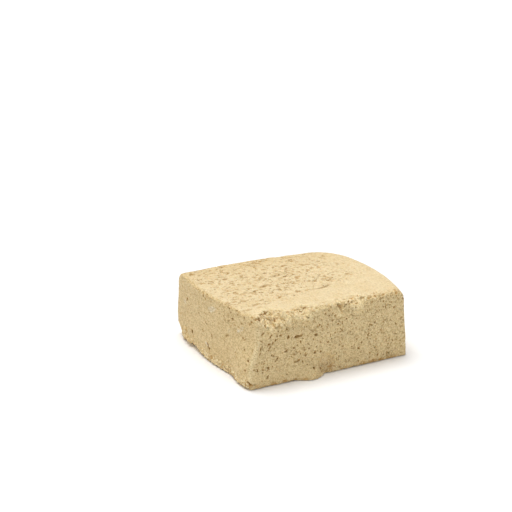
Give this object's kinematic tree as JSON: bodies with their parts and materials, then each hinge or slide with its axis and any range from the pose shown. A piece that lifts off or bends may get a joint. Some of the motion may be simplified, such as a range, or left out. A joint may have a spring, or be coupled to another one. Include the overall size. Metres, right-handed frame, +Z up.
{
  "type": "sesame halva piece",
  "caption": "Block of sesame halva with moulded walls, a rounded back corner, a smooth knife cut and a porous cut with a crumbly edge.",
  "frame": {"origin": "middle of the footprint's bounding box, on the surface that the block lies on", "axes": "+X from the smooth knife cut to the moulded wall opposite, +Y from the porous cut to the moulded wall opposite, +Z up out of the top"},
  "size_m": [0.0918, 0.0816, 0.033],
  "materials": {
    "halva": "dense pale sesame paste, matt with a faint oily gloss, mottled and porous on the top and the broken cut, satin where the knife passed"
  },
  "bodies": {
    "root": {"halva_block": "halva"}
  },
  "joints": []
}
